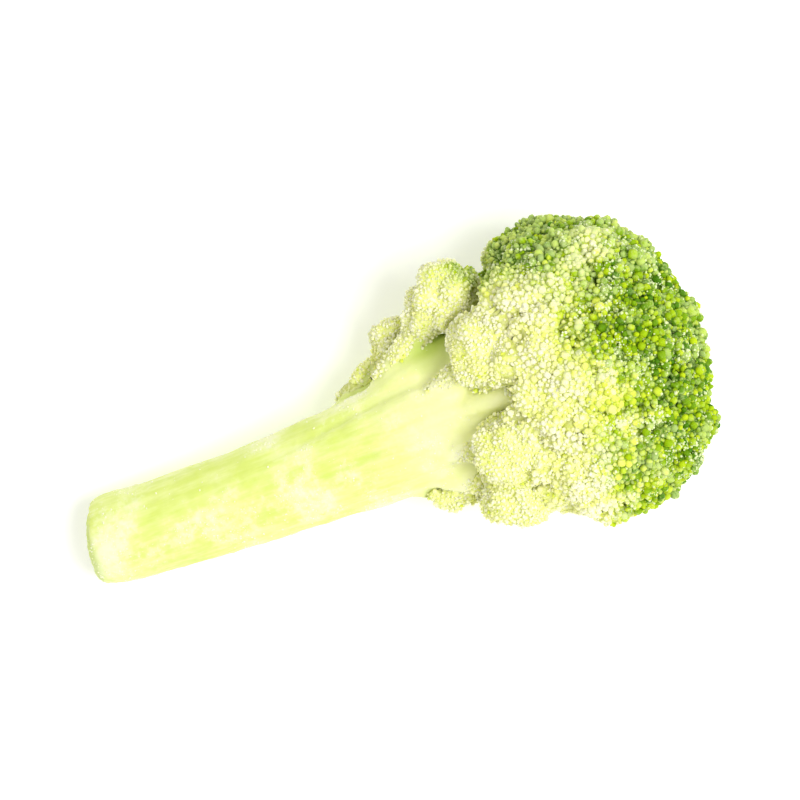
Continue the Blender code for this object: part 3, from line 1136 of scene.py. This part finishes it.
# The left flank, away from the lamp, gets extra film: partly real frost, partly painted grey for
# its shade.
beside = distance_along(tree, where, crown_middle, sideways)
flank = remap(tree, beside, FROST_AND_SHADE_FLANK_STARTS, FROST_AND_SHADE_FLANK_FULL)
frosty = calc(tree, "MULTIPLY_ADD", flank, FROST_AND_SHADE_FLANK_WEIGHT, frosty)
frosty = remap(tree, frosty, FILM_STARTS, FILM_FULL)
ice = blend_colours(tree, green, PALE_FROST, GREEN_FROST)
film = calc(tree, "MULTIPLY", frosty, remap(tree, green, 0.2, 1.0, 0.80, 0.50))
colour = blend_colours(tree, film, colour, ice)
tree.links.new(colour, shader.inputs["Base Color"])
rough = remap(tree, specks, 0.3, 0.7, 0.45, 0.85)
tree.links.new(rough, shader.inputs["Roughness"])
bumped = add(tree, "ShaderNodeBump", {"Strength": 0.8, "Distance": 0.0001, "Height": specks})
tree.links.new(bumped.outputs[0], shader.inputs["Normal"])
shader.inputs["Specular IOR Level"].default_value = 0.18
shader.inputs["Subsurface Weight"].default_value = 0.35
shader.inputs["Subsurface Radius"].default_value = (0.8, 1.0, 0.3)
shader.inputs["Subsurface Scale"].default_value = 0.0008
print("paint of the buds:", len(tree.nodes), "nodes")

# %% [markdown]
# ## Beds
#
# Between the buds the bed shows as thin dark lines and specks. It takes the colour of
# the buds around it, a little darker where the crown is green, with painted shade in
# creases and where a neighbour is near, and with a little of the same frost.
# %% Paint the beds
PALE_BED_FROST = srgb(255, 255, 206)
GREEN_BED_FROST = srgb(190, 212, 120)
BED_LEAST_GREEN = 0.20
BED_GRAIN_SCALE = 2400.0

tree = bed_material.node_tree
shader = tree.nodes["Principled BSDF"]
where, green = greenness(tree)
crease = add(tree, "ShaderNodeAttribute", attribute_name="crease").outputs["Fac"]
colour = green_ramp(tree, calc(tree, "MAXIMUM", green, BED_LEAST_GREEN))
open_share = add(tree, "ShaderNodeAttribute", attribute_name="open").outputs["Fac"]
# Painted shade: the bed darkens in its creases and where a neighbour is near; it is also a little
# darker where the crown is green.
painted_shade = remap(tree, crease, 0.0, 0.9, 0.95, 0.80)
painted_shade = calc(tree, "MULTIPLY", painted_shade, remap(tree, green, 0.2, 1.0, 1.0, 0.8))
painted_shade = calc(tree, "MULTIPLY", painted_shade, remap(tree, open_share, 0.0, 0.8, 0.74, 1.0))
colour = blend_colours(tree, 1.0, colour, painted_shade, "MULTIPLY")
grain = noise(tree, where, BED_GRAIN_SCALE, 3.0, 0.6)
film = calc(tree, "MULTIPLY", remap(tree, grain, 0.42, 0.62), 0.55)
ice = blend_colours(tree, green, PALE_BED_FROST, GREEN_BED_FROST)
colour = blend_colours(tree, film, colour, ice)
tree.links.new(colour, shader.inputs["Base Color"])
bumped = add(tree, "ShaderNodeBump", {"Strength": 0.5, "Distance": 0.0001, "Height": grain})
tree.links.new(bumped.outputs[0], shader.inputs["Normal"])
shader.inputs["Roughness"].default_value = 0.7
shader.inputs["Specular IOR Level"].default_value = 0.15
print("paint of the beds:", len(tree.nodes), "nodes")

# %% [markdown]
# ## Stalk flesh
#
# The skin of the stalk is streaked, because its fibres run lengthwise. A noise whose
# coordinate is squeezed along the axis gives such streaks. The flesh turns paler
# towards the crown, partly its own cream and partly painted light that lifts the shade
# of the clusters there, and it is bright green in the notch. On the cut face a ring of
# greener vessels runs around the pale pith.
# %% Streaks and frost of the stalk
FIBRE_SQUEEZE = 0.16
FIBRE_SCALE, SOFT_SCALE, FINE_SCALE = 900.0, 170.0, 1500.0
NECK_STARTS, NECK_FULL = 0.0300, 0.0425
BLUSH_EDGE, BLUSH_MIDDLE = 0.0060, 0.0025
FIBRE_GREEN = srgb(218, 233, 112)
FIBRE_CREAM = srgb(243, 249, 170)
STALK_FROST = srgb(254, 255, 226)
NECK_CREAM_AND_PAINTED_LIGHT = srgb(255, 255, 196)
NOTCH_GREEN = srgb(186, 214, 40)

tree = stalk_material.node_tree
shader = tree.nodes["Principled BSDF"]
where = add(tree, "ShaderNodeTexCoord").outputs["Object"]
axis_parts = []
for direction, squeeze in ((forward, FIBRE_SQUEEZE), (sideways, 1.0), (upward, 1.0)):
    axis_parts.append(distance_along(tree, where, cut_end, direction * squeeze))
fibre_place = add(tree, "ShaderNodeCombineXYZ", dict(enumerate(axis_parts))).outputs[0]
fibres = noise(tree, fibre_place, FIBRE_SCALE, 3.0, 0.6)
soft = noise(tree, where, SOFT_SCALE, 4.0, 0.6)
fine = noise(tree, where, FINE_SCALE, 4.0, 0.65)
tint = calc(tree, "MULTIPLY_ADD", fibres, 0.6, calc(tree, "MULTIPLY", soft, 0.6))
tint = remap(tree, tint, 0.40, 0.80)
colour = blend_colours(tree, tint, FIBRE_GREEN, FIBRE_CREAM)
film = remap(tree, calc(tree, "MULTIPLY_ADD", fine, 0.5, soft), 0.72, 1.0)
colour = blend_colours(tree, calc(tree, "MULTIPLY", film, 0.60), colour, STALK_FROST)
squeezed = axis_parts[0]
# The neck is paler towards the crown: partly its own cream, partly painted light that lifts the
# clusters' shade.
neck = remap(tree, squeezed, NECK_STARTS * FIBRE_SQUEEZE, NECK_FULL * FIBRE_SQUEEZE)
colour = blend_colours(tree, calc(tree, "MULTIPLY", neck, 0.65), colour, NECK_CREAM_AND_PAINTED_LIGHT)

to_notch = {0: where, 1: tuple(notch)}
to_notch = add(tree, "ShaderNodeVectorMath", to_notch, operation="DISTANCE").outputs["Value"]
blush = remap(tree, to_notch, BLUSH_EDGE, BLUSH_MIDDLE)
colour = blend_colours(tree, calc(tree, "MULTIPLY", blush, 0.75), colour, NOTCH_GREEN)

# %% Ring and pith of the cut face
VESSEL_GREEN = srgb(186, 208, 84)
PITH_CREAM = srgb(250, 252, 206)
FACE_ENDS, FACE_FULL = 0.002125, 0.001125
RING_EDGE, RING_MIDDLE = 0.0006, 0.0001
PITH_EDGE, PITH_MIDDLE = 0.0034, 0.0026

off_axis = calc(tree, "MULTIPLY", axis_parts[1], axis_parts[1])
off_axis = calc(tree, "MULTIPLY_ADD", axis_parts[2], axis_parts[2], off_axis)
off_axis = calc(tree, "SQRT", off_axis)
on_face = remap(tree, squeezed, FACE_ENDS * FIBRE_SQUEEZE, FACE_FULL * FIBRE_SQUEEZE)
ring = calc(tree, "ABSOLUTE", calc(tree, "SUBTRACT", off_axis, PITH_RADIUS))
ring = calc(tree, "MULTIPLY", remap(tree, ring, RING_EDGE, RING_MIDDLE), on_face)
colour = blend_colours(tree, calc(tree, "MULTIPLY", ring, 0.55), colour, VESSEL_GREEN)
pith = calc(tree, "MULTIPLY", remap(tree, off_axis, PITH_EDGE, PITH_MIDDLE), on_face)
colour = blend_colours(tree, calc(tree, "MULTIPLY", pith, 0.7), colour, PITH_CREAM)
tree.links.new(colour, shader.inputs["Base Color"])
rough = remap(tree, fine, 0.3, 0.7, 0.35, 0.7)
tree.links.new(rough, shader.inputs["Roughness"])
height = calc(tree, "MULTIPLY_ADD", fibres, 0.8, fine)
bumped = add(tree, "ShaderNodeBump", {"Strength": 0.5, "Distance": 0.00012, "Height": height})
tree.links.new(bumped.outputs[0], shader.inputs["Normal"])
shader.inputs["Subsurface Weight"].default_value = 0.35
shader.inputs["Subsurface Radius"].default_value = (1.0, 1.0, 0.4)
shader.inputs["Subsurface Scale"].default_value = 0.0012
print("paint of the stalk:", len(tree.nodes), "nodes")

# %% [markdown]
# ## Ice
#
# A crumb of ice is clear only inside. Its many small faces scatter the light, so it
# looks white, with a breath of the green below it. A little light under the surface
# does that at no cost of glassy rays.
# %% Paint the ice
ICE_OVER_CREAM = srgb(254, 255, 200)
ICE_OVER_GREEN = srgb(212, 230, 146)
WHITE_ICE = srgb(255, 255, 238)
CLOUD_SCALE = 900.0

tree = frost_material.node_tree
shader = tree.nodes["Principled BSDF"]
where, green = greenness(tree)
cloud = noise(tree, where, CLOUD_SCALE, 2.0)
colour = blend_colours(tree, green, ICE_OVER_CREAM, ICE_OVER_GREEN)
whiter = calc(tree, "MULTIPLY", cloud, remap(tree, green, 0.2, 1.0, 0.75, 0.40))
colour = blend_colours(tree, whiter, colour, WHITE_ICE)
tree.links.new(colour, shader.inputs["Base Color"])
tree.links.new(remap(tree, cloud, 0.3, 0.7, 0.25, 0.6), shader.inputs["Roughness"])
shader.inputs["Subsurface Weight"].default_value = 0.3
shader.inputs["Subsurface Radius"].default_value = (1.0, 1.0, 0.8)
shader.inputs["Subsurface Scale"].default_value = 0.0004
print("paint of the ice:", len(tree.nodes), "nodes")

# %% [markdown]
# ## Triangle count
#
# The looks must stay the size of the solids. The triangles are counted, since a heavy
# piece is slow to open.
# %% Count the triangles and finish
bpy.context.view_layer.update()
made_here = ("cluster_", "frost_", "stalk_")
pieces = [o for o in scene.objects if o.name.startswith(made_here)]
counts = [sum(len(p.vertices) - 2 for p in o.data.polygons) for o in pieces]
print("triangles:", sum(counts), "at most in one piece:", max(counts))
